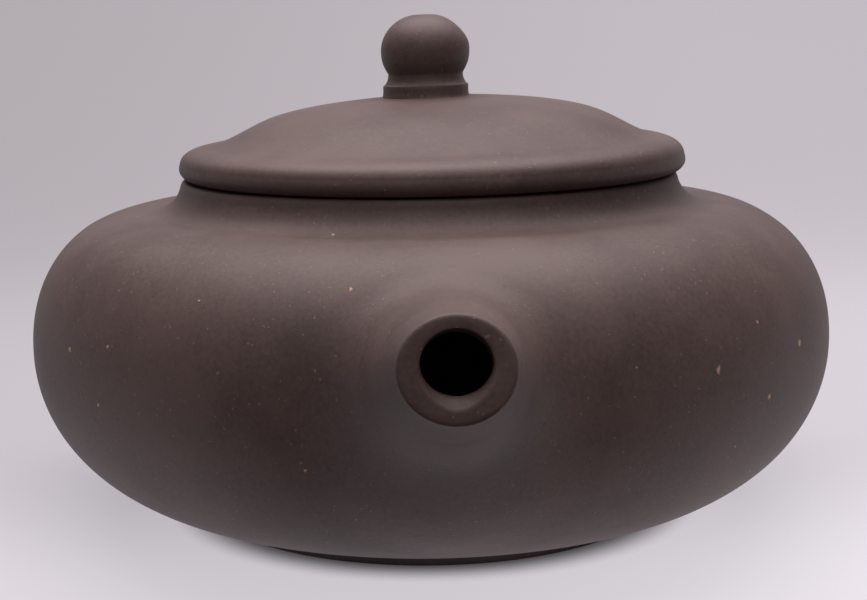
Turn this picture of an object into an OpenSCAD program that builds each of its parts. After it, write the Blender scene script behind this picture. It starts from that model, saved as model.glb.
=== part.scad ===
// Squat hand-built clay teapot with a cover lid and a ball knob.
// The axis of the round body is Z, the table is z = 0, the spout points along -Y
// and the handle along +Y. All sizes are millimetres.

/* [Body] */
// Diameter of the body at its belly
belly_d = 104; // [98:0.5:110]
// Height of the widest line of the belly above the table
belly_z = 23.3; // [22:0.1:25]
// Height of the flat top of the shoulder above the table
shoulder_z = 40.1; // [39.5:0.1:41]
// Radius at which the shoulder turns level, just outside the neck
shoulder_r = 36.7; // [36:0.1:38]
// Thickness of the body's clay
wall = 2.6; // [2:0.1:3]

/* [Foot and base] */
// Height of the underside of the base above the table
foot_h = 1.8; // [1.4:0.1:2.4]
// Outer radius of the foot ring where it meets the table
foot_r = 30; // [29:0.1:31]
// Width of the foot ring's resting face
foot_w = 3.4; // [2.6:0.1:4.5]
// Radius of the flat slab that closes the bottom
base_r = 27.4; // [26.6:0.1:28]

/* [Neck and mouth] */
// Height of the neck's rim above the table
rim_z = 44.1; // [43.6:0.1:44.6]
// Outer radius of the neck's rim
rim_r = 32.3; // [32:0.1:32.6]
// Inner radius of the mouth
mouth_r = 29.6; // [29:0.1:30]

/* [Lid] */
// Outer radius of the lid's rounded edge
lid_r = 32.9; // [32.5:0.1:33.4]
// Height of the crown of the lid's dome above the table
crown_z = 54.1; // [53.6:0.1:55]
// Depth of the lid's flange below the seat plate
flange_h = 7.4; // [5:0.1:8]
// Gap between the lid and the pot
lid_gap = 0.15; // [0.1:0.05:0.3]

/* [Knob] */
// Radius of the knob's ball at its widest
ball_r = 5.8; // [5.4:0.1:6.2]
// Radius of the waist under the ball
waist_r = 5; // [4.6:0.1:5.2]
// Radius of the steam hole through the knob
vent_r = 0.9; // [0.6:0.1:1.2]

/* [Spout] */
// Distance of the spout's mouth from the body's axis
spout_reach = 72.8; // [71:0.1:76]
// Height of the centre of the spout's mouth above the table
spout_z = 33.1; // [32.5:0.1:34]
// Outer width of the spout's mouth
spout_tip_d = 10.6; // [10:0.1:11.4]
// Outer width of the spout at its hub, just inside the body
spout_root_d = 24.8; // [24:0.1:26]
// Diameter of the bore at the spout's mouth
bore_tip_d = 6.6; // [6:0.1:7]
// Diameter of the bore at the spout's hub
bore_root_d = 16; // [15:0.1:17]

/* [Handle] */
// Distance of the back of the handle from the body's axis
handle_reach = 79; // [77:0.5:82]
// Width of the handle at its upper root
handle_top_w = 9; // [8:0.1:10]
// Width of the handle at its lower root
handle_low_w = 7; // [6:0.1:8]

/* [Hidden] */
$fn = 96;
clay = [0.30, 0.24, 0.235];
clay_light = [0.36, 0.30, 0.29];
belly_r = belly_d / 2;
low_steps = 20;
top_steps = 14;
// Exponents of the belly's curves, where 2 is a plain ellipse
low_power = 2.04;
top_power = 2.16;
// Share of the upper curve, in degrees, where the wall strip ends and the shoulder disc begins
seam_deg = 45;
base_thick = 2.8;
disc_thick = 2.5;
seat_z = rim_z + lid_gap;
seat_thick = 2.1;
seat_hole_r = mouth_r - 5.2;
seat_edge = 1.1;
flange_wall = 2.1;
flange_r = mouth_r - 0.4;
dome_z = seat_z + seat_thick;
dome_wall = 2.3;
// The dome falls from the edge of its crown to a cove. crown_slope is the share of the fall that
// is an even slope, and the two exponents shape the rest into a steep side.
crown_r = 5;
crown_slope = 0.35;
side_power = 6;
side_shift = 1.5;
cove_r = 28.2;
cove_rise = 2.5;
edge_rise = 1.7;
// How much narrower the inside of the dome is, so that its steep side keeps its thickness
dome_narrowing = 1.04;
collar_r = 5.5;
collar_h = 1.5;
waist_h = 1.3;
ball_low = 3.1;
ball_high = 4.8;
knob_z = crown_z + collar_h;
ball_z = knob_z + waist_h + ball_low;
spout_steps = 8;
taper_power = 1.25;
spout_tilt = 15.5;
mouth_tilt = 6;
// The spout's axis starts at its hub, inside the body
spout_hub_y = 44;
spout_hub_z = spout_z - (spout_reach - spout_hub_y) * tan(spout_tilt);
spout_len = (spout_reach - spout_hub_y) / cos(spout_tilt);
fillet_flare = 2.6;
fillet_share = 0.42;
fillet_edge = 0.35;
strainer_r = 8.8;
strainer_sink = 1;
strainer_bed_r = 15.6;
strainer_z = 25.4;
strainer_wall = 1.5;
strainer_hole_r = 0.9;
handle_sides = 16;
handle_steps = 26;
handle_flatness = 0.48;
// Fine gap that keeps the curved faces of the slip clear of the faces they were cut to
slip_gap = 0.06;
// Guide points of the handle's curve, as distance from the axis and height
handle_top = [42, 32];
handle_rise = [56, 44];
handle_back = [handle_reach - 3.4, 29.5];
handle_swing = 12.5;
handle_sweep = [65, 13];
handle_low = [44, 13];
// How far the slip round the handle's ends reaches into the body and out along the handle
handle_fillet_in = 3;
handle_fillet_out = 1.2;
handle_flare = 1.8;
upper_share = 0.12;
lower_share = 0.925;
over = 1;

// ---- curves -------------------------------------------------------------------

// A point of the belly's lower curve, from the base at 0 degrees to the belly at 90
function low_point(a, inset) = [
    base_r + (belly_r - inset - base_r) * pow(sin(a), 2 / low_power),
    belly_z - (belly_z - foot_h - inset) * pow(cos(a), 2 / low_power)
];

// A point of the belly's upper curve, from the belly at 0 degrees to the neck at 90
function top_point(a, inset) = [
    shoulder_r + (belly_r - inset - shoulder_r) * pow(cos(a), 2 / top_power),
    belly_z + (shoulder_z - inset - belly_z) * pow(sin(a), 2 / top_power)
];

function low_curve(inset) = [for (i = [0:low_steps]) low_point(90 * i / low_steps, inset)];
function top_curve(inset, from, to) =
    [for (i = [0:top_steps]) top_point(from + (to - from) * i / top_steps, inset)];
function reversed(list) = [for (i = [len(list) - 1:-1:0]) list[i]];

// A cubic curve through four control points
function cubic(a, b, c, d, t) =
    a * pow(1 - t, 3) + b * 3 * t * pow(1 - t, 2) + c * 3 * t * t * (1 - t) + d * pow(t, 3);

function mix(a, b, t) = a + (b - a) * t;

// ---- shared shapes ------------------------------------------------------------

// The outside of the whole body as one solid, grown by gap, used to trim what stands on it
module body_outside(gap = 0) {
    rotate_extrude()
        polygon(concat(
            [[0, foot_h - gap]], low_curve(-gap), top_curve(-gap, 5, 90), [[0, shoulder_z + gap]]
        ));
}

// ---- body ---------------------------------------------------------------------

// Flat slab that closes the bottom of the body
module base_disc() {
    color(clay)
        translate([0, 0, foot_h])
            cylinder(r = base_r, h = base_thick);
}

// Low ring that the pot stands on, luted under the base
module foot_ring() {
    color(clay)
        difference() {
            rotate_extrude()
                polygon([
                    [foot_r - foot_w, 0], [foot_r - 0.4, 0], [foot_r, 0.4],
                    [foot_r + 0.3, foot_h + over], [foot_r - foot_w - 0.5, foot_h + over]
                ]);
            body_outside();
        }
}

// Strip beaten into the round side of the body, from the base to the shoulder seam
module body_wall() {
    color(clay)
        difference() {
            rotate_extrude()
                polygon(concat(
                    low_curve(0),
                    top_curve(0, 5, seam_deg),
                    reversed(top_curve(wall, 0, seam_deg)),
                    reversed([for (i = [1:low_steps - 1]) low_point(90 * i / low_steps, wall)]),
                    [[base_r, foot_h + wall]]
                ));
            spout_bore();
        }
}

// Disc beaten down over the wall strip to close the top, with the mouth cut out
module shoulder_disc() {
    color(clay)
        rotate_extrude()
            polygon(concat(
                top_curve(0, seam_deg, 90),
                [[mouth_r, shoulder_z], [mouth_r, shoulder_z - disc_thick]],
                reversed(top_curve(wall, seam_deg, 88))
            ));
}

// Short neck luted on the shoulder, whose level rim carries the lid
module neck_ring() {
    flare = 2.9;
    color(clay_light)
        rotate_extrude()
            polygon([
                [mouth_r, shoulder_z], [rim_r + flare, shoulder_z], [rim_r + 2.1, shoulder_z + 0.35],
                [rim_r + 1.4, shoulder_z + 0.95], [rim_r + 0.8, shoulder_z + 1.9],
                [rim_r + 0.3, rim_z - 1], [rim_r, rim_z - 0.4], [rim_r - 0.4, rim_z], [mouth_r, rim_z]
            ]);
}

// ---- spout --------------------------------------------------------------------

// Puts its children on the spout's straight axis, with local Z pointing out of the mouth
module on_spout_axis() {
    translate([0, -spout_hub_y, spout_hub_z])
        rotate([90 - spout_tilt, 0, 0])
            children();
}

// Radius at share t of the way from the hub to the mouth, narrowing fast at first
function taper(root, tip, t) = mix(root, tip, 1 - pow(1 - min(t, 1), taper_power));

// A tapered round bar on the spout's axis, run on past the mouth by extra
module tapered_bar(root, tip, extra) {
    rotate_extrude()
        polygon(concat(
            [[0, 0]],
            [for (i = [0:spout_steps]) [taper(root, tip, i / spout_steps), spout_len * i / spout_steps]],
            [[tip, spout_len + extra], [0, spout_len + extra]]
        ));
}

// The space beyond the slightly upturned mouth of the spout
module beyond_mouth() {
    translate([0, -spout_reach, spout_z])
        rotate([90 - mouth_tilt, 0, 0])
            cylinder(r = spout_root_d, h = spout_len);
}

module spout_bore() {
    on_spout_axis() tapered_bar(bore_root_d / 2, bore_tip_d / 2, 2 * over);
}

// Tapered hollow spout
module spout() {
    color(clay)
        difference() {
            on_spout_axis() tapered_bar(spout_root_d / 2, spout_tip_d / 2, 2 * over);
            spout_bore();
            beyond_mouth();
            body_outside();
        }
}

// Slip worked into the corner between the spout and the body
module spout_fillet() {
    root_r = spout_root_d / 2;
    tip_r = spout_tip_d / 2;
    end_r = taper(root_r, tip_r, fillet_share) + fillet_edge;
    color(clay)
        difference() {
            on_spout_axis() cylinder(r1 = root_r + fillet_flare, r2 = end_r, h = spout_len * fillet_share);
            on_spout_axis() tapered_bar(root_r, tip_r, 0);
            body_outside(slip_gap);
        }
}

// Pierced cap that holds the leaves back from the spout. Its rim follows the inside of the wall,
// which is close to a circle of radius strainer_bed_r in every plane through the axis.
module strainer() {
    // Each row of holes: angle from the middle of the cap, and how many holes stand round it
    rows = [[0, 1], [33, 6], [60, 9]];
    color(clay_light)
        intersection() {
            translate([0, 0, belly_z])
                rotate_extrude()
                    translate([belly_r - wall - strainer_bed_r, 0])
                        circle(r = strainer_bed_r);
            translate([0, -(belly_r - wall - strainer_sink), strainer_z])
                rotate([-90, 0, 0])
                    difference() {
                        sphere(r = strainer_r);
                        sphere(r = strainer_r - strainer_wall);
                        for (row = rows, i = [1:row[1]])
                            rotate([0, 0, 360 * i / row[1]])
                                rotate([row[0], 0, 0])
                                    cylinder(r = strainer_hole_r, h = strainer_r + over);
                    }
        }
}

// ---- handle -------------------------------------------------------------------

// Middle line of the handle, from its upper end at 0 over its back at 0.5 to its lower end at 1,
// as [distance from the axis, height]
function handle_line(t) =
    t < 0.5
        ? cubic(handle_top, handle_rise, handle_back + [0, handle_swing], handle_back, t * 2)
        : cubic(handle_back, handle_back - [0, handle_swing], handle_sweep, handle_low, t * 2 - 1);

function handle_tilt(t) =
    let (e = 0.01, v = handle_line(min(t + e, 1)) - handle_line(max(t - e, 0)))
        atan2(v[1], v[0]);

function handle_width(t) = mix(handle_top_w, handle_low_w, t);

// Ring of points round the handle at share t
function handle_ring(t) =
    let (c = handle_line(t), w = handle_width(t), tilt = handle_tilt(t))
        [
            for (i = [0:handle_sides - 1])
                let (a = 360 * i / handle_sides, up = w * handle_flatness * cos(a))
                    [w / 2 * sin(a), c[0] - up * sin(tilt), c[1] + up * cos(tilt)]
        ];

// The whole tube of the handle, with both ends inside the body
module handle_tube() {
    points = [for (k = [0:handle_steps]) each handle_ring(k / handle_steps)];
    walls = [
        for (k = [0:handle_steps - 1], i = [0:handle_sides - 1])
            let (j = (i + 1) % handle_sides, p = k * handle_sides, q = p + handle_sides)
                each [[p + i, p + j, q + j], [p + i, q + j, q + i]]
    ];
    first_cap = [for (i = [handle_sides - 1:-1:0]) i];
    last_cap = [for (i = [0:handle_sides - 1]) handle_steps * handle_sides + i];
    polyhedron(points, concat(walls, [first_cap, last_cap]));
}

// Ear-shaped handle of tapering oval section
module handle() {
    color(clay)
        difference() {
            handle_tube();
            body_outside();
        }
}

// Slip worked into the corner between the body and the handle where its middle line is at share t
module handle_fillet(t, outward) {
    c = handle_line(t);
    r = handle_width(t) / 2;
    length = handle_fillet_in + handle_fillet_out;
    color(clay)
        difference() {
            translate([0, c[0], c[1]])
                rotate([handle_tilt(t) - outward * 90, 0, 0])
                    difference() {
                        translate([0, 0, -handle_fillet_in])
                            cylinder(r1 = r + handle_flare, r2 = r + fillet_edge, h = length);
                        translate([0, 0, -handle_fillet_in - over])
                            cylinder(r = r + slip_gap, h = length + 2 * over);
                    }
            body_outside();
        }
}

module upper_handle_fillet() {
    handle_fillet(upper_share, 1);
}

module lower_handle_fillet() {
    handle_fillet(lower_share, -1);
}

// ---- lid ----------------------------------------------------------------------

// Flat ring that rests on the neck's rim and forms the lower half of the lid's edge
module lid_seat_plate() {
    color(clay_light)
        rotate_extrude()
            polygon([
                [seat_hole_r, seat_z], [lid_r - seat_edge - 0.5, seat_z], [lid_r - 0.6, seat_z + 0.45],
                [lid_r - 0.15, seat_z + 1.1], [lid_r, dome_z - 0.4], [lid_r - 0.05, dome_z],
                [seat_hole_r, dome_z]
            ]);
}

// Ring under the seat plate that keeps the lid centred in the mouth
module lid_flange() {
    color(clay)
        translate([0, 0, seat_z - flange_h])
            difference() {
                cylinder(r = flange_r, h = flange_h);
                translate([0, 0, -over]) cylinder(r = flange_r - flange_wall, h = flange_h + 2 * over);
            }
}

// Height of the dome's outside at radius r: a broad crown, then a steep side that ends in a cove
function dome_height(r) =
    let (
        s = min(1, max(0, (r - crown_r) / (cove_r - crown_r))),
        side = pow(sin(90 * pow(s, side_shift)), side_power)
    )
        mix(crown_z, dome_z + cove_rise, mix(side, s, crown_slope));

// Raised cover of the lid, with the steam hole through its crown
module lid_dome() {
    steps = 18;
    outer = [for (i = [0:steps]) let (r = cove_r * i / steps) [max(r, vent_r), dome_height(r)]];
    inner = [
        for (i = [0:steps])
            let (r = seat_hole_r * i / steps)
                [max(r, vent_r), max(dome_height(r * dome_narrowing) - dome_wall, dome_z)]
    ];
    edge = [
        [cove_r + 1.6, dome_z + cove_rise - 0.25], [lid_r - 1.9, dome_z + edge_rise + 0.3],
        [lid_r - 0.9, dome_z + edge_rise - 0.35], [lid_r - 0.3, dome_z + 0.6], [lid_r - 0.05, dome_z]
    ];
    color(clay_light)
        rotate_extrude()
            polygon(concat(outer, edge, reversed(inner)));
}

// Stepped ring under the knob
module knob_collar() {
    color(clay_light)
        difference() {
            translate([0, 0, crown_z]) cylinder(r = collar_r, h = collar_h);
            translate([0, 0, crown_z - over]) cylinder(r = vent_r, h = collar_h + 2 * over);
        }
}

// Ball knob on a narrow waist, with the steam hole down its middle
module knob() {
    waist = [
        for (i = [0:6])
            let (a = 15 * i)
                [mix(collar_r - 0.1, waist_r, sin(a)), knob_z + waist_h * (1 - cos(a))]
    ];
    low_half = [
        for (i = [1:10])
            let (a = 9 * i)
                [waist_r + (ball_r - waist_r) * sin(a), ball_z - ball_low * cos(a)]
    ];
    high_half = [
        for (i = [1:14])
            let (a = 90 * i / 14)
                [max(ball_r * cos(a), vent_r), ball_z + ball_high * sin(a)]
    ];
    color(clay_light)
        rotate_extrude()
            polygon(concat([[vent_r, knob_z]], waist, low_half, high_half));
}

// ---- assembly -----------------------------------------------------------------

base_disc();
foot_ring();
body_wall();
shoulder_disc();
neck_ring();
spout();
spout_fillet();
strainer();
handle();
upper_handle_fillet();
lower_handle_fillet();
lid_seat_plate();
lid_flange();
lid_dome();
knob_collar();
knob();
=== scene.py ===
import math

import bmesh
import bpy
import numpy as np
from mathutils import Matrix, Vector


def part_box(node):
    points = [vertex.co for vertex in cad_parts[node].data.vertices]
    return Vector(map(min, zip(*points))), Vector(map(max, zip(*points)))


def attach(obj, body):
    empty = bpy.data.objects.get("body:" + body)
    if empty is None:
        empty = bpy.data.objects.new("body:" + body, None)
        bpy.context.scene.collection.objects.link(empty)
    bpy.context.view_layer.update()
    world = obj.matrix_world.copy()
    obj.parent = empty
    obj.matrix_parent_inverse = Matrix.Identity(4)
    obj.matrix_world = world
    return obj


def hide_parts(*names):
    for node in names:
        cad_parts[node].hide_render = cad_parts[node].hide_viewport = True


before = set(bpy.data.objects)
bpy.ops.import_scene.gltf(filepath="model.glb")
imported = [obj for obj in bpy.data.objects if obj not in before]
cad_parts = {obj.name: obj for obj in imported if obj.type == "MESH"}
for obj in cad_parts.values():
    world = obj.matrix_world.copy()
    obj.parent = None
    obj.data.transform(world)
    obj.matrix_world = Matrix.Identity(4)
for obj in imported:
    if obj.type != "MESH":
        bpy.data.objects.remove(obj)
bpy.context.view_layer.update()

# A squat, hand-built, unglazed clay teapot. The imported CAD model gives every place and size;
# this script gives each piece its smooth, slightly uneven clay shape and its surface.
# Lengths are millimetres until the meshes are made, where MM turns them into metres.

MM = 0.001
ROUND = 256          # points round the axis of a turned piece
KNOB_ROUND = 128     # points round the knob and its collar
TUBE_ROUND = 96      # points round the spout
HANDLE_ROUND = 48    # points round the handle
HOLE_ROUND = 20      # points round a hole of the strainer


def low(node):
    """Lowest corner of a CAD node, in millimetres."""
    return np.array(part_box(node)[0]) / MM


def high(node):
    """Highest corner of a CAD node, in millimetres."""
    return np.array(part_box(node)[1]) / MM


# ---- sizes --------------------------------------------------------------------------------

SKIN = 0.03                                   # kept inside the CAD box, for rounding
BELLY_R = high("body_wall")[0] - SKIN
BELLY_Z = 23.3                                # height of the widest part
BASE_R = high("base_disc")[0]
BASE_Z = low("base_disc")[2]
BASE_TOP = high("base_disc")[2]
SHOULDER_Z = high("shoulder_disc")[2]
SHOULDER_R = 36.7                             # where the body's curve ends under the neck
WALL = 2.6
LOW_POWER = 2.04                              # roundness of the body's lower and upper curves,
TOP_POWER = 2.16                              # where 2 is an ellipse and more is fuller
SEAM = math.radians(45)                       # where the wall strip meets the shoulder disc
RIM_Z = high("neck_ring")[2]
RIM_R = 32.3
MOUTH_R = 29.6
FOOT_R = 30.0
FOOT_W = 3.4                                  # width of the foot ring
SEAT_Z = low("lid_seat_plate")[2]
DOME_Z = low("lid_dome")[2]
LID_R = high("lid_seat_plate")[0] + 0.22      # a little past the CAD's edge, as photographed
CROWN_Z = high("lid_dome")[2]
COVE_Z = DOME_Z + 2.05                        # bottom of the hollow between crown and edge
FLANGE_R = high("lid_flange")[0]
FLANGE_Z = low("lid_flange")[2]
DOME_WALL = 2.3
SEAT_HOLE_R = 24.4                            # hole through the lid's seat plate
COLLAR_R = high("knob_collar")[0]
KNOB_Z = low("knob")[2]
KNOB_TOP = high("knob")[2] - 0.2              # a little under the CAD's top, as photographed
BALL_RISE = 4.4                               # the ball's widest part above the knob's foot
BALL_R = high("knob")[0] - SKIN
WAIST_R = 4.87                                # neck under the knob's ball
VENT_R = 0.9                                  # steam hole
HANDLE_BACK = high("handle")[1] - SKIN


# ---- curves in the plane of distance from the axis and height ------------------------------

def belly_low(a, inset=0.0):
    """Lower curve of the body, from the base at 0 to the belly at a quarter turn."""
    s, c = np.sin(a), np.cos(a)
    return np.stack([
        BASE_R + (BELLY_R - inset - BASE_R) * s ** (2 / LOW_POWER),
        BELLY_Z - (BELLY_Z - BASE_Z - inset) * c ** (2 / LOW_POWER)], -1)


def belly_top(a, inset=0.0):
    """Upper curve of the body, from the belly at 0 to the neck at a quarter turn."""
    s, c = np.sin(a), np.clip(np.cos(a), 0, 1)
    return np.stack([
        SHOULDER_R + (BELLY_R - inset - SHOULDER_R) * c ** (2 / TOP_POWER),
        BELLY_Z + (SHOULDER_Z - inset - BELLY_Z) * s ** (2 / TOP_POWER)], -1)


def bezier(a, b, c, d, count):
    """Points along a cubic curve."""
    t = np.linspace(0, 1, count)[:, None]
    a, b, c, d = (np.array(p, float) for p in (a, b, c, d))
    return a * (1 - t) ** 3 + 3 * b * t * (1 - t) ** 2 + 3 * c * t * t * (1 - t) + d * t ** 3


def eased(corners, count=5):
    """An outline with rounded corners. Each corner is (radius, height, size of the rounding)."""
    points = []
    n = len(corners)
    for i, (r, z, ease) in enumerate(corners):
        here = np.array([r, z], float)
        if ease <= 0:
            points.append(here)
            continue
        before = np.array(corners[i - 1][:2], float) - here
        after = np.array(corners[(i + 1) % n][:2], float) - here
        start = here + before / np.linalg.norm(before) * ease
        end = here + after / np.linalg.norm(after) * ease
        for t in np.linspace(0, 1, count):
            points.append(start * (1 - t) ** 2 + here * 2 * t * (1 - t) + end * t * t)
    return np.array(points)


def join(*parts):
    """Several runs of points as one outline, without repeated points."""
    points = np.concatenate([np.atleast_2d(np.array(p, float)) for p in parts])
    keep = np.r_[True, np.linalg.norm(np.diff(points, axis=0), axis=1) > 1e-4]
    return points[keep]


def finer(points, step):
    """The same outline with no stretch longer than step."""
    points = np.array(points, float)
    out = [points[0]]
    for a, b in zip(points[:-1], points[1:]):
        count = max(1, int(math.ceil(np.linalg.norm(b - a) / step)))
        out += [a + (b - a) * k / count for k in range(1, count + 1)]
    return np.array(out)


# ---- hand-made unevenness --------------------------------------------------------------------

LEAN = math.tan(math.radians(0.36))           # the rim and the lid stand a little higher on +X
CROWN_LEAN = math.tan(math.radians(0.80))     # how much more the lid's crown and knob lean
LID_SHIFT = 0.45                              # how far the lid sits off centre
KNOB_SHIFT = -0.68                            # how far the knob stands off the lid's centre
KNOB_DROOP = 0.022                            # how fast the knob's top falls away on +X
PADDLE_DEPTH = 0.055                          # depth of the waves left by the paddle


def ramp(value, start, end):
    """0 before start and 1 past end, with a smooth rise between them."""
    t = np.clip((value - start) / (end - start), 0, 1)
    return t * t * (3 - 2 * t)


def handmade(p, lid=False):
    """Moves points the way hand building does: a slight lean, and faint waves from the paddle."""
    p = np.array(p, float)
    x, y, z = p[..., 0].copy(), p[..., 1].copy(), p[..., 2].copy()
    turn = np.arctan2(y, x)
    r = np.hypot(x, y)
    wave = (0.35 * np.sin(3 * turn + 0.7) + 0.3 * np.sin(5 * turn + 2.1 + z * 0.05)
            + 0.2 * np.sin(9 * turn + 4.0 - z * 0.11) + 0.15 * np.sin(14 * turn + z * 0.23))
    depth = PADDLE_DEPTH * (wave - 1.0) * ramp(r, 12, 30)
    scale = 1 + depth / np.maximum(r, 1)
    x, y = x * scale, y * scale
    if lid:
        z = z + x * CROWN_LEAN * ramp(z, DOME_Z - 1.0, DOME_Z + 5.0)
        z = z - KNOB_DROOP * np.maximum(x, 0) ** 2 * ramp(z, KNOB_Z + BALL_RISE, KNOB_TOP)
        x = x + LID_SHIFT + KNOB_SHIFT * ramp(z, CROWN_Z - 0.6, CROWN_Z)
    z = z + x * LEAN * ramp(z, SHOULDER_Z - 2.5, SHOULDER_Z + 1.0)
    return np.stack([x, y, z], -1)


# ---- meshes ---------------------------------------------------------------------------------

def make(name, verts, faces, body, nodes, slot, material, lid=False, sharp=38):
    """A finished piece: uneven, smooth shaded, riding on its body in place of its CAD nodes."""
    mesh = bpy.data.meshes.new(name)
    verts = handmade(verts, lid) * MM
    mesh.from_pydata([tuple(v) for v in verts], [], faces)
    mesh.validate()
    face_outwards(mesh)
    obj = bpy.data.objects.new(name, mesh)
    bpy.context.scene.collection.objects.link(obj)
    for polygon in mesh.polygons:
        polygon.use_smooth = True
    mesh.set_sharp_from_angle(angle=math.radians(sharp))
    mesh.materials.append(material)
    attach(obj, body)
    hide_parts(*nodes)
    return obj


def face_outwards(mesh):
    """Turns every face of a closed mesh to look outwards."""
    work = bmesh.new()
    work.from_mesh(mesh)
    bmesh.ops.recalc_face_normals(work, faces=work.faces)
    work.to_mesh(mesh)
    work.free()
    mesh.update()


def rings_mesh(rings, closed):
    """Faces between rings of equal length. closed joins the last ring to the first."""
    rings = np.array(rings, float)
    count, around = rings.shape[:2]
    faces = []
    for k in range(count if closed else count - 1):
        a, b = k * around, ((k + 1) % count) * around
        for i in range(around):
            j = (i + 1) % around
            faces.append((a + i, a + j, b + j, b + i))
    return rings.reshape(-1, 3), faces


def capped(rings):
    """A tube of rings with a flat face over each end."""
    verts, faces = rings_mesh(rings, closed=False)
    around = len(rings[0])
    faces.append(tuple(range(around))[::-1])
    faces.append(tuple(range(len(verts) - around, len(verts))))
    return verts, faces


def turned(outline, around=ROUND):
    """A lathe mesh from an outline of (radius, height). An outline on the axis gets poles."""
    outline = np.array(outline, float)
    poles = outline[0, 0] < 1e-6 and outline[-1, 0] < 1e-6
    body = outline[1:-1] if poles else outline
    turn = np.arange(around) * 2 * math.pi / around
    rings = np.stack([
        body[:, :1] * np.cos(turn)[None], body[:, :1] * np.sin(turn)[None],
        np.repeat(body[:, 1:], around, 1)], -1)
    verts, faces = rings_mesh(rings, closed=not poles)
    if poles:
        first, last = len(verts), len(verts) + 1
        verts = np.concatenate([verts, [[0, 0, outline[0, 1]], [0, 0, outline[-1, 1]]]])
        end = (len(body) - 1) * around
        for i in range(around):
            j = (i + 1) % around
            faces.append((first, j, i))
            faces.append((last, end + i, end + j))
    return verts, faces


# ---- clay -----------------------------------------------------------------------------------

class Nodes:
    """Short calls for building a material's node tree. Positions are in millimetres."""

    def __init__(self, name):
        self.material = bpy.data.materials.new(name)
        self.material.use_nodes = True
        self.tree = self.material.node_tree
        self.shader = self.tree.nodes["Principled BSDF"]
        place = self.tree.nodes.new("ShaderNodeTexCoord")
        scale = self.add("ShaderNodeVectorMath", operation="SCALE")
        self.link(place.outputs["Object"], scale.inputs[0])
        scale.inputs["Scale"].default_value = 1 / MM
        self.place = scale.outputs[0]

    def add(self, kind, **settings):
        node = self.tree.nodes.new(kind)
        for key, value in settings.items():
            setattr(node, key, value)
        return node

    def link(self, a, b):
        self.tree.links.new(a, b)

    def put(self, socket, value):
        if isinstance(value, bpy.types.NodeSocket):
            self.link(value, socket)
        else:
            socket.default_value = value

    def math(self, operation, a, b=0.0, clamp=False):
        node = self.add("ShaderNodeMath", operation=operation, use_clamp=clamp)
        self.put(node.inputs[0], a)
        self.put(node.inputs[1], b)
        return node.outputs[0]

    def noise(self, size, detail=3.0, roughness=0.55, place=None):
        """Smooth noise whose features are about size millimetres across."""
        node = self.add("ShaderNodeTexNoise")
        self.link(place or self.place, node.inputs["Vector"])
        node.inputs["Scale"].default_value = 1 / size
        node.inputs["Detail"].default_value = detail
        node.inputs["Roughness"].default_value = roughness
        return node.outputs["Fac"]

    def steps(self, value, start, end, low_value=0.0, high_value=1.0):
        """value between start and end, spread smoothly from low_value to high_value."""
        node = self.add("ShaderNodeMapRange", interpolation_type="SMOOTHSTEP")
        self.put(node.inputs["Value"], value)
        for key, number in (("From Min", start), ("From Max", end),
                            ("To Min", low_value), ("To Max", high_value)):
            node.inputs[key].default_value = number
        return node.outputs["Result"]

    def cells(self, size, share, spread, blur=0.35, place=None):
        """Scattered flecks: a share of the cells of that size holds one, spread cells wide."""
        node = self.add("ShaderNodeTexVoronoi")
        self.link(place or self.place, node.inputs["Vector"])
        node.inputs["Scale"].default_value = 1 / size
        pick = self.add("ShaderNodeSeparateColor")
        self.link(node.outputs["Color"], pick.inputs[0])
        chosen = self.steps(pick.outputs[0], 1 - share, 1 - share * 0.9)
        width = self.steps(pick.outputs[1], 0.0, 1.0, spread * 0.45, spread)
        near = self.math("SUBTRACT", width, node.outputs["Distance"])
        return self.math("MULTIPLY", chosen, self.steps(near, 0.0, spread * blur))

    def mix(self, share, a, b):
        node = self.add("ShaderNodeMix", data_type="RGBA")
        self.put(node.inputs["Factor"], share)
        self.put(node.inputs[6], a)
        self.put(node.inputs[7], b)
        return node.outputs[2]

    def bumps(self, layers):
        """Several height maps, each with its depth in millimetres, one over the other."""
        normal = None
        for height, depth in layers:
            node = self.add("ShaderNodeBump")
            node.inputs["Distance"].default_value = depth * MM
            self.put(node.inputs["Height"], height)
            if normal is not None:
                self.link(normal, node.inputs["Normal"])
            normal = node.outputs["Normal"]
        self.link(normal, self.shader.inputs["Normal"])


# Tan grains of sand in the clay, listed: turn about the axis in degrees from the spout
# towards +X, height, and length and width in millimetres.
GRAINS = [
    (35.6, 25.9, 1.25, 0.75), (45.9, 21.2, 0.8, 0.75), (54.3, 26.3, 0.75, 0.9),
    (44.4, 30.0, 0.5, 0.45), (-56.0, 27.0, 0.75, 0.8), (-48.6, 21.7, 0.6, 0.5),
    (-80.5, 14.4, 1.0, 0.9), (-12.2, 36.2, 0.4, 0.5), (-17.1, 17.5, 0.4, 0.35),
    (8.6, 10.2, 0.4, 0.35), (40.5, 16.0, 0.5, 0.4), (-33.0, 34.5, 0.45, 0.4),
    (118, 20.0, 0.9, 0.7), (150, 26.0, 1.2, 0.9), (-128, 29.0, 1.1, 0.8),
    (-160, 18.0, 0.8, 0.7),
]
STIR = 0.9           # how far, in millimetres, the outlines of flecks are stirred about


def grain_places():
    """Each grain's place on the body's side, found on the belly's curves."""
    line = np.concatenate([belly_low(np.linspace(0, math.pi / 2, 80)),
                           belly_top(np.linspace(0, math.pi / 2, 80))])
    for turn, z, length, width in GRAINS:
        r = np.interp(z, line[:, 1], line[:, 0])
        a = math.radians(turn)
        yield (r * math.sin(a), -r * math.cos(a), z), length, width


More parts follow.
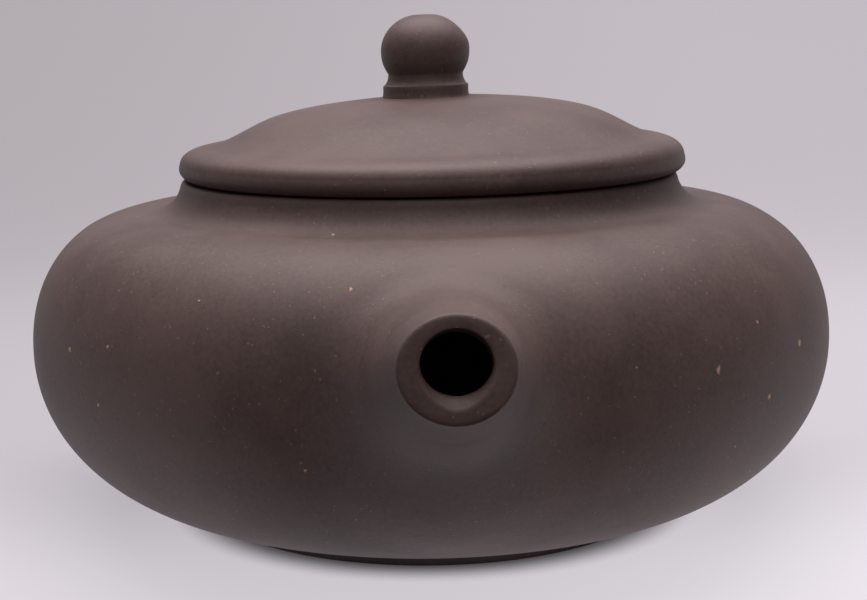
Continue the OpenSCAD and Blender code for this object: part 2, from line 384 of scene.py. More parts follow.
def ragged_place(n):
    """The place, stirred by a fine noise, so that flecks get ragged outlines."""
    warp = n.add("ShaderNodeTexNoise")
    n.link(n.place, warp.inputs["Vector"])
    warp.inputs["Scale"].default_value = 1 / 1.1
    shift = n.add("ShaderNodeVectorMath", operation="SCALE")
    n.link(warp.outputs["Color"], shift.inputs[0])
    shift.inputs["Scale"].default_value = STIR
    ragged = n.add("ShaderNodeVectorMath", operation="ADD")
    n.link(n.place, ragged.inputs[0])
    n.link(shift.outputs[0], ragged.inputs[1])
    return ragged.outputs[0]


def placed_grains(n, ragged):
    """1 on the listed grains of sand and 0 between them."""
    near = None
    for (x, y, z), length, width in grain_places():
        away = n.add("ShaderNodeVectorMath", operation="SUBTRACT")
        n.link(ragged, away.inputs[0])
        away.inputs[1].default_value = (x + STIR / 2, y + STIR / 2, z + STIR / 2)
        shape = n.add("ShaderNodeVectorMath", operation="MULTIPLY")
        n.link(away.outputs[0], shape.inputs[0])
        shape.inputs[1].default_value = (2 / width, 2 / width, 2 / length)
        size = n.add("ShaderNodeVectorMath", operation="LENGTH")
        n.link(shape.outputs[0], size.inputs[0])
        this = size.outputs["Value"]
        near = this if near is None else n.math("MINIMUM", near, this)
    return n.steps(near, 1.15, 0.65)


def clay(name, dark, light, polish=0.0, grains=False):
    """Unglazed stoneware. polish from 0, raw, to 1, rubbed smooth."""
    n = Nodes(name)
    ragged = ragged_place(n)

    clouds = n.noise(26, 3, 0.5)
    patches = n.noise(5.5, 4, 0.6)
    grain = n.noise(0.55, 4, 0.7)
    tone = n.math("ADD", n.math("MULTIPLY", clouds, 0.45), n.math("MULTIPLY", patches, 0.22))
    tone = n.math("ADD", tone, n.math("MULTIPLY", grain, 0.33))
    colour = n.mix(n.steps(tone, 0.36, 0.64), (*dark, 1), (*light, 1))

    dust = n.cells(0.55, 0.16, 0.32, place=ragged)
    colour = n.mix(n.math("MULTIPLY", dust, 0.30), colour, (0.30, 0.21, 0.18, 1))
    specks = n.cells(2.3, 0.09, 0.11, place=ragged)
    colour = n.mix(n.math("MULTIPLY", specks, 0.75), colour, (0.42, 0.32, 0.25, 1))
    soot = n.cells(1.7, 0.10, 0.16, place=ragged)
    colour = n.mix(n.math("MULTIPLY", soot, 0.4), colour, (0.018, 0.012, 0.011, 1))
    pits = n.cells(9.0, 0.16, 0.045, blur=0.8, place=ragged)
    # The pits are also darkened in colour: painted shade in the hollows that the bump further down
    # sinks.
    colour = n.mix(n.math("MULTIPLY", pits, 0.6), colour, (0.02, 0.014, 0.013, 1))
    if grains:
        sand = placed_grains(n, ragged)
        tan = n.mix(n.noise(0.4), (0.30, 0.17, 0.085, 1), (0.52, 0.36, 0.20, 1))
        colour = n.mix(sand, colour, tan)
    n.link(colour, n.shader.inputs["Base Color"])

    rough = n.math("ADD", 0.60 - 0.16 * polish, n.math("MULTIPLY", patches, 0.10))
    rough = n.math("ADD", rough, n.math("MULTIPLY", grain, 0.08))
    n.link(rough, n.shader.inputs["Roughness"])
    n.shader.inputs["IOR"].default_value = 1.46

    raised = n.math("SUBTRACT", n.math("MULTIPLY", dust, 0.5), n.math("MULTIPLY", pits, 3.0))
    layers = [(n.noise(7.0, 2, 0.5), 0.05),
              (n.noise(1.3, 3, 0.6), 0.010 + 0.010 * (1 - polish)),
              (grain, 0.018 + 0.014 * (1 - polish)),
              (raised, 0.03)]
    if grains:
        layers.append((sand, 0.04))
    n.bumps(layers)
    return n.material


DARK = (0.052, 0.034, 0.031)
LIGHT = (0.098, 0.068, 0.062)
BODY_CLAY = clay("body_clay", DARK, LIGHT, polish=0.6, grains=True)
LID_CLAY = clay("lid_clay", DARK, LIGHT, polish=0.8)
FOOT_CLAY = clay("foot_clay", (0.045, 0.031, 0.029), (0.085, 0.062, 0.057), polish=0.2)
INSIDE_CLAY = clay("inside_clay", (0.050, 0.034, 0.030), (0.085, 0.058, 0.052), polish=0.0)


# ---- body -----------------------------------------------------------------------------------

def quarter(count):
    """Turns from 0 to a quarter, for the body's curves."""
    return np.linspace(0, math.pi / 2, count)


def base_disc():
    under = finer([[0.5, BASE_Z + 0.5], [BASE_R - 4, BASE_Z + 0.35]], 1.5)
    over = finer([[BASE_R - 2.0, BASE_TOP - 0.05], [0.5, BASE_TOP - 0.25]], 1.5)
    outline = join([0, BASE_Z + 0.5], under, [BASE_R, BASE_Z], [BASE_R, BASE_TOP - 0.05],
                   over, [0, BASE_TOP - 0.25])
    return make("clay_base_disc", *turned(outline), "pot", ["base_disc"], "body_clay", BODY_CLAY)


def foot_ring():
    inner = FOOT_R - FOOT_W
    under = belly_low(quarter(90))
    top = under[(under[:, 0] > inner - 0.6) & (under[:, 0] < FOOT_R + 1.1)]
    outside = bezier([FOOT_R + 1.05, top[-1, 1] + 0.1], [FOOT_R + 0.25, BASE_Z - 0.1],
                     [FOOT_R + 0.15, 1.2], [FOOT_R + 0.02, 0.55], 8)
    rest = bezier([FOOT_R + 0.02, 0.55], [FOOT_R, 0.12], [FOOT_R - 0.25, 0],
                  [FOOT_R - 0.8, 0], 7)
    inside = bezier([inner + 0.7, 0], [inner + 0.2, 0], [inner, 0.2],
                    [inner - 0.1, BASE_Z + 0.1], 8)
    outline = join(outside, rest, inside, [inner - 0.1, BASE_Z + 0.6],
                   [FOOT_R + 0.6, BASE_Z + 1.0])
    return make("clay_foot_ring", *turned(outline), "pot", ["foot_ring"], "foot_clay", FOOT_CLAY)


def body_wall():
    outer = join(belly_low(quarter(90)), belly_top(np.linspace(0, SEAM, 50)))
    inner = join(belly_top(np.linspace(SEAM, 0, 30), WALL), belly_low(quarter(50)[::-1], WALL))
    verts, faces = turned(join(outer, inner))
    wall = make("clay_body_wall", verts, faces, "pot", ["body_wall"], "body_clay", BODY_CLAY)
    carve(wall, *capped(tube_rings(SPOUT_LINE, bore_radius(SPOUT_SHARE) - 0.12, 48)))
    return wall


def carve(obj, verts, faces):
    """Cuts a closed shape out of a piece."""
    mesh = bpy.data.meshes.new("cutter")
    mesh.from_pydata([tuple(v) for v in np.array(verts) * MM], [], faces)
    face_outwards(mesh)
    cutter = bpy.data.objects.new("cutter", mesh)
    bpy.context.scene.collection.objects.link(cutter)
    modifier = obj.modifiers.new("cut", "BOOLEAN")
    modifier.operation = "DIFFERENCE"
    modifier.solver = "EXACT"
    modifier.object = cutter
    bpy.context.view_layer.update()
    seen = obj.evaluated_get(bpy.context.evaluated_depsgraph_get())
    result = bpy.data.meshes.new_from_object(seen)
    obj.modifiers.clear()
    obj.data = result
    bpy.data.objects.remove(cutter)


def shoulder_disc():
    outer = belly_top(np.linspace(SEAM, math.pi / 2, 60))
    flat = finer([[SHOULDER_R, SHOULDER_Z], [MOUTH_R, SHOULDER_Z]], 0.8)
    edge = eased([(MOUTH_R, SHOULDER_Z, 0), (MOUTH_R, SHOULDER_Z - WALL + 0.1, 0.4),
                  (SHOULDER_R, SHOULDER_Z - WALL + 0.1, 0)])
    inner = belly_top(np.linspace(math.radians(88), SEAM, 30), WALL)
    outline = join(outer, flat[1:], edge[1:-1], inner)
    return make("clay_shoulder_disc", *turned(outline), "pot", ["shoulder_disc"],
                "body_clay", BODY_CLAY)


def neck_ring():
    flare = bezier([RIM_R + 4.3, SHOULDER_Z - 0.02], [RIM_R + 2.1, SHOULDER_Z + 0.05],
                   [RIM_R + 0.9, SHOULDER_Z + 1.3], [RIM_R + 0.35, RIM_Z - 1.2], 26)
    lip = bezier([RIM_R + 0.35, RIM_Z - 1.2], [RIM_R + 0.12, RIM_Z - 0.35],
                 [RIM_R, RIM_Z], [RIM_R - 0.75, RIM_Z], 10)
    inside = eased([(RIM_R - 0.75, RIM_Z, 0), (MOUTH_R, RIM_Z, 0.35),
                    (MOUTH_R, SHOULDER_Z - 0.02, 0)])
    outline = join(flare, lip, inside[1:])
    return make("clay_neck_ring", *turned(outline), "pot", ["neck_ring"], "body_clay", BODY_CLAY)


# ---- distances, for clay worked smoothly from one piece into another ---------------------------

WALK_STEP = 0.14         # millimetres walked at a time along a fillet
WALK_PROBE = 0.02        # distance over which its slope is measured
WALK_LIMIT = 240
FILLET_ROWS = 34
BODY_LINE = join(belly_low(quarter(100)), belly_top(quarter(100)), [[20, SHOULDER_Z]])


def body_distance(p):
    """Signed distance of points from the outside of the body, negative inside."""
    q = np.stack([np.hypot(p[..., 0], p[..., 1]), p[..., 2]], -1)[..., None, :]
    a, b = BODY_LINE[:-1], BODY_LINE[1:]
    d = b - a
    t = np.clip(((q - a) * d).sum(-1) / (d * d).sum(-1), 0, 1)
    off = q - (a + t[..., None] * d)
    length = np.linalg.norm(off, axis=-1)
    k = length.argmin(-1)
    nearest = np.take_along_axis(off, k[..., None, None], -2)[..., 0, :]
    side = d[k, 0] * nearest[..., 1] - d[k, 1] * nearest[..., 0]
    return np.linalg.norm(nearest, axis=-1) * np.where(side < 0, 1, -1)


def tube_field(line, rings, radius):
    """A function that gives the signed distance of points from a tube of oval section."""
    along, side, up = frames(line)
    tall = np.linalg.norm(rings[:, 0] - line, axis=1) / radius
    a, b = line[:-1], line[1:]
    d = b - a

    def distance(p):
        q = p[..., None, :]
        t = np.clip(((q - a) * d).sum(-1) / (d * d).sum(-1), 0, 1)
        off = q - (a + t[..., None] * d)
        across = (off * side[:-1]).sum(-1)
        rise = (off * up[:-1]).sum(-1) / tall[:-1]
        back = (off * along[:-1]).sum(-1)
        size = radius[:-1] + t * (radius[1:] - radius[:-1])
        return (np.sqrt(across ** 2 + rise ** 2 + back ** 2) - size).min(-1)

    return distance


def worked(a, b, reach):
    """Smooth union of two distances."""
    h = np.maximum(reach - np.abs(a - b), 0) / reach
    return np.minimum(a, b) - h * h * reach / 4


def frames(line):
    """Direction, side and upright vectors along a line that lies in the plane x = 0."""
    along = np.gradient(line, axis=0)
    along /= np.linalg.norm(along, axis=1)[:, None]
    side = np.tile([1.0, 0.0, 0.0], (len(line), 1))
    return along, side, np.cross(along, side)


def tube_rings(line, radius, around, tall=1.0):
    """Rings round a line, of one radius for each of its points. tall stretches them upwards."""
    side, up = frames(line)[1:]
    turn = np.arange(around) * 2 * math.pi / around
    tall = np.broadcast_to(tall, len(line))[:, None, None]
    r = radius[:, None, None]
    return (line[:, None] + r * np.sin(turn)[None, :, None] * side[:, None]
            + r * tall * np.cos(turn)[None, :, None] * up[:, None])


def from_inside(rings, depth):
    """Cuts off a tube's rings inside the body's clay, at a signed distance from its outside."""
    distance = body_distance(rings)
    count, around = distance.shape
    out = np.zeros_like(rings)
    for i in range(around):
        inside = np.nonzero(distance[:, i] < depth)[0]
        k = inside.max() if len(inside) else 0
        a, b = distance[k, i], distance[min(k + 1, count - 1), i]
        start = k + (depth - a) / (b - a) if b > a else k
        at = start + (count - 1 - start) * np.linspace(0, 1, count)
        j = np.minimum(at.astype(int), count - 2)
        share = (at - j)[:, None]
        out[:, i] = rings[j, i] * (1 - share) + rings[j + 1, i] * share
    return out


def gradient(field, p, delta=0.5):
    """Outward direction of a distance field at points on its surface."""
    steps = np.eye(3) * delta
    slope = np.stack([field(p + step) - field(p - step) for step in steps], -1)
    return slope / np.linalg.norm(slope, axis=-1)[..., None]


def walk(place, field, finished, first):
    """Steps along a surface in many planes at once, and says where each plane's walk finished.

    place gives a point from its distance down the tube's direction and its distance out from it.
    """
    a, b = np.zeros(len(first)), first.copy()
    heading = np.stack([np.ones(len(first)), np.zeros(len(first))])
    path = [place(a, b)]
    done = np.full(len(first), -1)
    for k in range(1, WALK_LIMIT):
        ga = (field(place(a + WALK_PROBE, b)) - field(place(a - WALK_PROBE, b))) / (2 * WALK_PROBE)
        gb = (field(place(a, b + WALK_PROBE)) - field(place(a, b - WALK_PROBE))) / (2 * WALK_PROBE)
        size = np.sqrt(ga * ga + gb * gb) + 1e-9
        heading_now = np.stack([-gb, ga]) / size
        heading_now *= np.where((heading_now * heading).sum(0) < 0, -1, 1)
        heading = heading_now
        a, b = a + WALK_STEP * heading[0], b + WALK_STEP * heading[1]
        off = field(place(a, b))
        a, b = a - off * ga / size ** 2, b - off * gb / size ** 2
        path.append(place(a, b))
        done = np.where((done < 0) & finished(path[-1]), k, done)
        if (done >= 0).all():
            break
    path = np.array(path)
    return path, np.where(done < 0, len(path) - 1, done)


def even_rows(path, done, rows):
    """The walked paths cut into equal numbers of steps."""
    columns = np.arange(path.shape[1])
    out = []
    for k in range(rows):
        at = done * k / (rows - 1)
        i = np.minimum(at.astype(int), len(path) - 2)
        share = (at - i)[:, None]
        out.append(path[i, columns] * (1 - share) + path[i + 1, columns] * share)
    return np.array(out)


def fillet(name, line, rings, radius, start, reach, slot, material):
    """Slip worked from a tube into the body, from a ring of the tube to where the body is plain.

    Each point of the ring is walked along the surface of the smooth union of tube and body, in
    the plane of that point and the tube's direction. reach is the width of the union's blend.
    The piece is this surface with a thickness under it, its two edges dipped just into the clay.
    """
    along = frames(line)[0][start]
    centre = line[start]
    out = along * (1 if body_distance(centre + along) > body_distance(centre) else -1)
    ray = rings[start] - centre
    first = np.linalg.norm(ray, axis=1)
    ray = ray / first[:, None]
    shape = tube_field(line, rings, radius)

    def place(a, b):
        return centre - a[:, None] * out + b[:, None] * ray

    def field(p):
        return worked(shape(p), body_distance(p), reach)

    def finished(p):
        return shape(p) - body_distance(p) > reach

    outside = even_rows(*walk(place, field, finished, first), FILLET_ROWS)
    normal = np.array([gradient(field, row) for row in outside])
    share = np.linspace(0, 1, FILLET_ROWS)[:, None, None]
    inside = outside - normal * (0.25 + 0.9 * np.sin(math.pi * share) ** 0.5)
    dip = 0.016 * (ramp(share, 0.12, 0.0) + ramp(share, 0.92, 1.0)) - 0.006
    outside = outside - normal * dip
    verts, faces = rings_mesh(np.concatenate([outside, inside[::-1]]), closed=True)
    piece = make(name, verts, faces, "pot", [name[len("clay_"):]], slot, material, sharp=60)
    shown = np.zeros((len(verts), 3))
    shown[:len(verts) // 2] = worn_normals(outside, normal).reshape(-1, 3)
    piece.data.normals_split_custom_set_from_vertices([tuple(v) for v in shown])
    return piece


def worn_normals(p, normal, step=0.05):
    """The directions of a surface once handmade() has moved it, from two short steps across it."""
    one = np.cross(normal, [0.31, 0.17, 0.93])
    one /= np.linalg.norm(one, axis=-1)[..., None]
    other = np.cross(normal, one)
    a = handmade(p + step * one) - handmade(p - step * one)
    b = handmade(p + step * other) - handmade(p - step * other)
    moved = np.cross(a, b)
    return moved / np.linalg.norm(moved, axis=-1)[..., None]


# ---- spout ----------------------------------------------------------------------------------

SPOUT_HUB = (42.0, 23.8)                     # start of its line, inside the body
SPOUT_END = (72.05, 33.0)
SPOUT_STATIONS = 73
FILLET_STATION = 48                          # where the slip round the spout starts
SPOUT_ROOT_R, SPOUT_TIP_R = 12.0, 5.6
BORE_ROOT_R, BORE_TIP_R = 7.6, 3.25
MOUTH_SQUASH = 0.918                         # the mouth is a little wider than it is tall
HIDDEN_DEPTH = -1.4                          # where tubes end inside the body's clay


def spout_line():
    flat = bezier(SPOUT_HUB, [52.5, 27.4], [63, 31.3], SPOUT_END, SPOUT_STATIONS)
    return np.stack([np.zeros(SPOUT_STATIONS), -flat[:, 0], flat[:, 1]], -1)


def spout_radius(t):
    return SPOUT_ROOT_R + (SPOUT_TIP_R - SPOUT_ROOT_R) * (1 - (1 - t) ** 1.32)


def bore_radius(t):
    return BORE_ROOT_R + (BORE_TIP_R - BORE_ROOT_R) * (1 - (1 - t) ** 1.25)


SPOUT_LINE = spout_line()
SPOUT_SHARE = np.linspace(0, 1, SPOUT_STATIONS)
SPOUT_RINGS = tube_rings(SPOUT_LINE, spout_radius(SPOUT_SHARE), TUBE_ROUND,
                         tall=1 - (1 - MOUTH_SQUASH) * ramp(SPOUT_SHARE, 0.2, 1.0))


def mouth_ring(wide, tall, rise, lift=0.0, point=0.0):
    """An oval ring across the spout's mouth. point draws its lowest part down to a soft point."""
    along, side, up = frames(SPOUT_LINE)
    turn = np.arange(TUBE_ROUND) * 2 * math.pi / TUBE_ROUND
    c = np.cos(turn)
    high_at = lift + tall * c - point * np.clip(-c, 0, 1) ** 4
    return (SPOUT_LINE[-1] + wide * np.sin(turn)[:, None] * side[-1]
            + high_at[:, None] * up[-1] + rise * along[-1])


def spout():
    """The tube, its rounded lip, the worn bevel under the hole, and the bore."""
    tip = SPOUT_TIP_R
    tall = tip * MOUTH_SQUASH
    outer = from_inside(SPOUT_RINGS, HIDDEN_DEPTH)
    rings = [mouth_ring(tip - r, tall - r, rise)
             for r, rise in ((0.0, 0.18), (0.05, 0.34), (0.17, 0.45), (0.40, 0.50), (0.75, 0.50))]
    rings += [mouth_ring(3.42 + r, 3.4 + r * 0.6, rise, lift=0.35 - r * 0.25, point=0.45)
              for r, rise in ((0.45, 0.50), (0.12, 0.47), (0.0, 0.38))]
    rings += [mouth_ring(3.36, 3.2, -0.15, lift=0.6, point=0.1),
              mouth_ring(3.33, 3.08, -0.9, lift=0.68)]
    share = SPOUT_SHARE[SPOUT_SHARE < 0.92]
    bore = tube_rings(SPOUT_LINE[:len(share)], bore_radius(share), TUBE_ROUND)
    bore = from_inside(bore, -0.6)
    verts, faces = rings_mesh(np.concatenate([outer, rings, bore[::-1]]), closed=True)
    return make("clay_spout", verts, faces, "pot", ["spout"], "body_clay", BODY_CLAY, sharp=50)


def spout_fillet():
    """Wide at the sides and below the spout, tight above it."""
    turn = np.arange(TUBE_ROUND) * 2 * math.pi / TUBE_ROUND
    reach = 7.0 - 4.6 * ramp(np.cos(turn), -0.1, 0.9)
    return fillet("clay_spout_fillet", SPOUT_LINE, SPOUT_RINGS, spout_radius(SPOUT_SHARE),
                  FILLET_STATION, reach, "body_clay", BODY_CLAY)


CAP_R = 8.8
CAP_WALL = 1.5
HOLE_R = 0.9
CAP_HOLES = ((0, 1), (33, 6), (60, 9))       # degrees from the middle, and holes at that distance


def strainer():
    """Pierced cap behind the bore, with its holes as real holes."""
    centre = np.array([0.0, -(BELLY_R - WALL - 1.0), 25.4])
    polar = np.linspace(0, math.radians(88), 40)
    rim = np.stack([np.sin(polar), np.cos(polar)], -1)
    verts, faces = turned(join(CAP_R * rim, (CAP_R - CAP_WALL) * rim[::-1]), 72)
    verts = np.stack([verts[:, 0], centre[1] + verts[:, 2], centre[2] + verts[:, 1]], -1)
    cap = make("clay_strainer", verts, faces, "pot", ["strainer"], "inside_clay", INSIDE_CLAY)
    for tilt, count in CAP_HOLES:
        for i in range(count):
            pierce(cap, centre, math.radians(tilt), 2 * math.pi * (i + 1) / count)
    return cap


def pierce(cap, centre, tilt, turn):
    """One round hole through the strainer, along a ray from its centre."""
    ray = np.array([math.sin(tilt) * math.sin(turn), math.cos(tilt),
                    -math.sin(tilt) * math.cos(turn)])
    other = np.cross(ray, [0.3, 0.2, 0.9])
    other /= np.linalg.norm(other)
    third = np.cross(ray, other)
    a = (np.arange(HOLE_ROUND) * 2 * math.pi / HOLE_ROUND)[None, :, None]
    line = centre + np.array([[4.5], [11.0]]) * ray
    carve(cap, *capped(line[:, None] + HOLE_R * (np.cos(a) * other + np.sin(a) * third)))


# ---- handle ---------------------------------------------------------------------------------

UPPER_R, LOWER_R = 4.45, 3.45                # radius at the upper and the lower root
HANDLE_FLAT = 0.94                           # thickness of the handle against its width


def handle_line(count=121):
    """The ear's line from the upper root round the back to the lower root, evenly spaced."""
    back = [HANDLE_BACK - 3.9, 29.5]
    upper = bezier([42, 32], [56, 44], [back[0], back[1] + 12.5], back, count // 2 + 1)
    lower = bezier(back, [back[0], back[1] - 12.5], [65, 13], [44, 13], count // 2 + 1)
    flat = np.concatenate([upper, lower[1:]])
    gaps = np.r_[0, np.cumsum(np.linalg.norm(np.diff(flat, axis=0), axis=1))]
    at = np.linspace(0, gaps[-1], count)
    flat = np.stack([np.interp(at, gaps, flat[:, i]) for i in range(2)], -1)
    return np.stack([np.zeros(count), flat[:, 0], flat[:, 1]], -1)


HANDLE_LINE = handle_line()
HANDLE_SHARE = np.linspace(0, 1, len(HANDLE_LINE))
HANDLE_RADIUS = UPPER_R + (LOWER_R - UPPER_R) * HANDLE_SHARE


def handle_rings():
    """Rings of a slightly flattened round section."""
    return tube_rings(HANDLE_LINE, HANDLE_RADIUS, HANDLE_ROUND, HANDLE_FLAT)


HANDLE_RINGS = handle_rings()
HALF = len(HANDLE_LINE) // 2


def handle():
    upper = from_inside(HANDLE_RINGS[:HALF + 1], HIDDEN_DEPTH)
    lower = from_inside(HANDLE_RINGS[HALF:][::-1], HIDDEN_DEPTH)[::-1]
    verts, faces = capped(np.concatenate([upper, lower[1:]]))
    return make("clay_handle", verts, faces, "pot", ["handle"], "body_clay", BODY_CLAY, sharp=50)


def handle_fillets():
    """Each end's name, its half of the handle, the ring the slip starts from, and its reach."""
    ends = [("clay_upper_handle_fillet", slice(0, HALF), 24, 4.2),
            ("clay_lower_handle_fillet", slice(len(HANDLE_LINE), HALF, -1), 22, 3.6)]
    for name, part, start, reach in ends:
        fillet(name, HANDLE_LINE[part], HANDLE_RINGS[part], HANDLE_RADIUS[part], start, reach,
               "body_clay", BODY_CLAY)


# ---- lid ------------------------------------------------------------------------------------

def dome_line():
    """Outside of the lid, from its middle over the cove to where the dome meets the seat plate."""
    brow = [21.2, CROWN_Z - 2.2]
    cove = [29.5, COVE_Z]
    middle = finer([[0.3, CROWN_Z], [5, CROWN_Z]], 0.5)
    crown = bezier([5, CROWN_Z], [11, CROWN_Z - 0.3], [17.5, CROWN_Z - 0.95], brow, 40)
    side = bezier(brow, [24.4, CROWN_Z - 3.3], [26.9, COVE_Z + 0.35], cove, 30)
    edge = bezier(cove, [31.3, COVE_Z - 0.2], [LID_R - 0.45, COVE_Z - 0.7],
                  [LID_R - 0.2, DOME_Z], 24)
    return join([0, CROWN_Z], middle, crown, side, edge)


def lid_piece(node, outline, slot, material, around=ROUND):
    return make("clay_" + node, *turned(outline, around), "lid", [node], slot, material, lid=True)


def lid_dome():
    top = dome_line()
    outer = top[top[:, 0] > VENT_R]
    ceiling = outer[outer[:, 0] < SEAT_HOLE_R][::-1] - [0, DOME_WALL]
    under = join([LID_R - 0.2, DOME_Z], [SEAT_HOLE_R, DOME_Z], np.maximum(ceiling, [0, DOME_Z]),
                 [VENT_R, CROWN_Z - DOME_WALL])
    outline = join([VENT_R, CROWN_Z - 0.1], outer, under)
    return lid_piece("lid_dome", outline, "lid_clay", LID_CLAY)


def lid_seat_plate():
    turn_in = [LID_R - 0.3, SEAT_Z + 0.65]
    nose = bezier([LID_R - 0.2, DOME_Z], [LID_R - 0.07, DOME_Z - 0.45],
                  [LID_R + 0.07, DOME_Z - 1.0], turn_in, 12)
    under = bezier(turn_in, [LID_R - 0.55, SEAT_Z + 0.25], [LID_R - 0.95, SEAT_Z],
                   [LID_R - 1.6, SEAT_Z], 10)
    outline = join([SEAT_HOLE_R, DOME_Z - 0.02], [LID_R - 0.4, DOME_Z - 0.02], nose, under,
                   [SEAT_HOLE_R + 0.3, SEAT_Z], [SEAT_HOLE_R, SEAT_Z + 0.3])
    return lid_piece("lid_seat_plate", outline, "lid_clay", LID_CLAY)


def lid_flange():
    """Narrower than the CAD's, so that it clears the mouth with the lid off centre."""
    outer = FLANGE_R - LID_SHIFT / 2
    inner = FLANGE_R - 2.1
    outline = eased([(outer, SEAT_Z, 0), (outer, FLANGE_Z, 0.5), (inner, FLANGE_Z, 0.5),
                     (inner, SEAT_Z, 0)])
    return lid_piece("lid_flange", outline, "inside_clay", INSIDE_CLAY)


def knob_collar():
    side = bezier([COLLAR_R + 0.35, CROWN_Z - 0.3], [COLLAR_R + 0.12, CROWN_Z],
                  [COLLAR_R + 0.04, CROWN_Z + 0.4], [COLLAR_R + 0.06, KNOB_Z - 0.16], 8)
    outline = join([VENT_R, CROWN_Z - 0.3], side, [COLLAR_R + 0.03, KNOB_Z - 0.05],
                   [COLLAR_R - 0.1, KNOB_Z], [VENT_R, KNOB_Z])
    return lid_piece("knob_collar", outline, "lid_clay", LID_CLAY, KNOB_ROUND)


def knob():
    ball_z = KNOB_Z + BALL_RISE
    waist_z = KNOB_Z + 1.35
    flare = bezier([COLLAR_R - 0.02, KNOB_Z - 0.02], [COLLAR_R - 0.35, KNOB_Z + 0.15],
                   [WAIST_R, waist_z - 0.55], [WAIST_R, waist_z], 12)
    under = bezier([WAIST_R, waist_z], [WAIST_R, waist_z + 0.35], [BALL_R, ball_z - 2.0],
                   [BALL_R, ball_z], 22)
    top = bezier([BALL_R, ball_z], [BALL_R, ball_z + 2.6], [BALL_R * 0.62, KNOB_TOP - 0.15],
                 [VENT_R + 0.3, KNOB_TOP], 30)
    vent = bezier([VENT_R + 0.35, KNOB_TOP], [VENT_R + 0.1, KNOB_TOP], [VENT_R, KNOB_TOP - 0.1],
                  [VENT_R, KNOB_TOP - 0.4], 5)
    outline = join([VENT_R, KNOB_Z], flare, under, top, vent)
    return lid_piece("knob", outline, "lid_clay", LID_CLAY, KNOB_ROUND)


# ---- stage ----------------------------------------------------------------------------------

def board(name):
    """A plain board, softly glowing round and behind the pot; the glow is painted light, stronger
    near the pot's front, weaker far behind, stronger to the right, and cut to a painted shadow
    round the foot.

    In front of the photograph's view it is unlit, which keeps the belly's underside dark.
    """
    n = Nodes(name)
    axes = n.add("ShaderNodeSeparateXYZ")
    n.link(n.place, axes.inputs[0])
    x, y = axes.outputs["X"], axes.outputs["Y"]
    lit = n.steps(y, -76, -45)
    tint = n.mix(n.noise(90, 2), (0.115, 0.110, 0.118, 1), (0.112, 0.107, 0.115, 1))
    tint = n.mix(lit, (0.10, 0.073, 0.070, 1), tint)
    n.link(tint, n.shader.inputs["Base Color"])
    n.link(tint, n.shader.inputs["Emission Color"])

    # Painted light: the glow is stronger just in front of the pot, where it fills the pot's
    # shadow, weaker far behind, and stronger towards the right.
    painted_light_near_front = n.steps(y, -35, 25, 6.0, 4.1)
    painted_light_falling_off_behind = n.steps(y, 60, 300, 1.0, 0.72)
    painted_light_towards_right = n.steps(x, -130, 150, 0.77, 1.05)
    away = n.math("ADD", n.math("POWER", x, 2.0), n.math("POWER", y, 2.0))
    away = n.math("SQRT", away)
    # Painted shadow: the glow drops to a tenth under the foot and fades back in just outside it.
    painted_shadow_round_foot = n.steps(away, FOOT_R - 1, FOOT_R + 6, 0.10, 1.0)
    glow = lit
    for part in (painted_light_near_front, painted_light_falling_off_behind, painted_light_towards_right, painted_shadow_round_foot):
        glow = n.math("MULTIPLY", glow, part)
    n.link(glow, n.shader.inputs["Emission Strength"])
    n.shader.inputs["Roughness"].default_value = 0.8
    return n.material


def sweep():
    """A table that curves up into a wall behind, in metres."""
    front, back = -1.0, 0.50
    bend, tall, half = 0.30, 1.3, 0.9
    line = [(front, 0.0), (back - bend, 0.0)]
    line += [(back - bend + bend * math.sin(a), bend - bend * math.cos(a))
             for a in np.linspace(0, math.pi / 2, 24)[1:]]
    line.append((back, tall))
    verts, faces = [], []
    for y, z in line:
        verts += [(-half, y, z), (half, y, z)]
    for k in range(len(line) - 1):
        faces.append((2 * k, 2 * k + 1, 2 * k + 3, 2 * k + 2))
    mesh = bpy.data.meshes.new("sweep")
    mesh.from_pydata(verts, [], faces)
    for polygon in mesh.polygons:
        polygon.use_smooth = True
    obj = bpy.data.objects.new("sweep", mesh)
    bpy.context.scene.collection.objects.link(obj)
    mesh.materials.append(board("pale_board"))


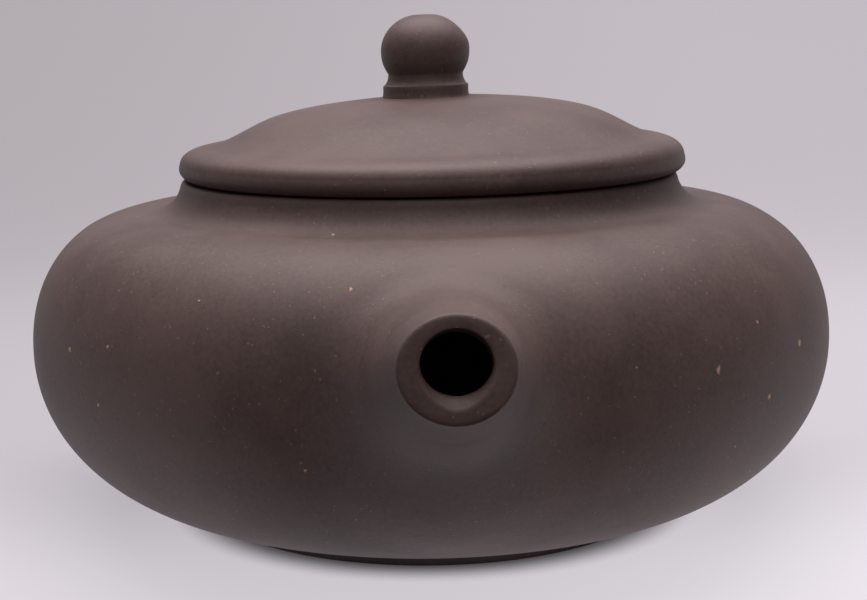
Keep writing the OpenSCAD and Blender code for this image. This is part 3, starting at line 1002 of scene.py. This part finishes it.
def area_light(name, place, target, size, power, colour):
    """A rectangular light, with its places and sizes in metres and its power in watts."""
    data = bpy.data.lights.new(name, "AREA")
    data.shape = "RECTANGLE"
    data.size, data.size_y = size
    data.energy = power
    data.color = colour
    obj = bpy.data.objects.new(name, data)
    obj.location = place
    obj.rotation_euler = (Vector(target) - Vector(place)).to_track_quat("-Z", "Y").to_euler()
    bpy.context.scene.collection.objects.link(obj)


def lights():
    area_light("top", (0.0, 0.10, 0.62), (0, 0.0, 0.03), (0.80, 0.56), 7.1, (1.0, 0.89, 0.89))
    area_light("front", (0.05, -0.50, 0.62), (0, 0.0, 0.04), (0.5, 0.3), 1.3, (1.0, 0.89, 0.87))
    world = bpy.data.worlds.new("room")
    world.use_nodes = True
    room = world.node_tree.nodes["Background"]
    room.inputs["Color"].default_value = (0.80, 0.72, 0.73, 1)
    room.inputs["Strength"].default_value = 0.17
    bpy.context.scene.world = world


def camera():
    """The photograph's view: in front of the spout, a little above the lid, tilted by under 1°."""
    distance, height, aside = 218.4, 64.8, 0.35
    yaw, pitch, roll = (math.radians(turn) for turn in (1.9, 10.10, 0.86))
    data = bpy.data.cameras.new("camera")
    data.sensor_width = 36
    data.lens = 68.84
    data.shift_y = 0.0092

    back = Vector((-math.sin(yaw), -math.cos(yaw), 0))
    right = Vector((math.cos(yaw), -math.sin(yaw), 0))
    forward = -back * math.cos(pitch) - Vector((0, 0, math.sin(pitch)))
    up = right.cross(forward)
    leaned_right = right * math.cos(roll) - up * math.sin(roll)
    leaned_up = right * math.sin(roll) + up * math.cos(roll)
    turn = Matrix((leaned_right, leaned_up, -forward)).transposed().to_4x4()
    place = back * distance + right * aside + Vector((0, 0, height))

    obj = bpy.data.objects.new("camera", data)
    obj.matrix_world = Matrix.Translation(place * MM) @ turn
    bpy.context.scene.collection.objects.link(obj)
    bpy.context.scene.camera = obj


camera()
lights()
sweep()
base_disc()
foot_ring()
body_wall()
shoulder_disc()
neck_ring()
spout()
spout_fillet()
strainer()
handle()
handle_fillets()
lid_seat_plate()
lid_flange()
lid_dome()
knob_collar()
knob()
bpy.context.scene.view_settings.view_transform = "Standard"
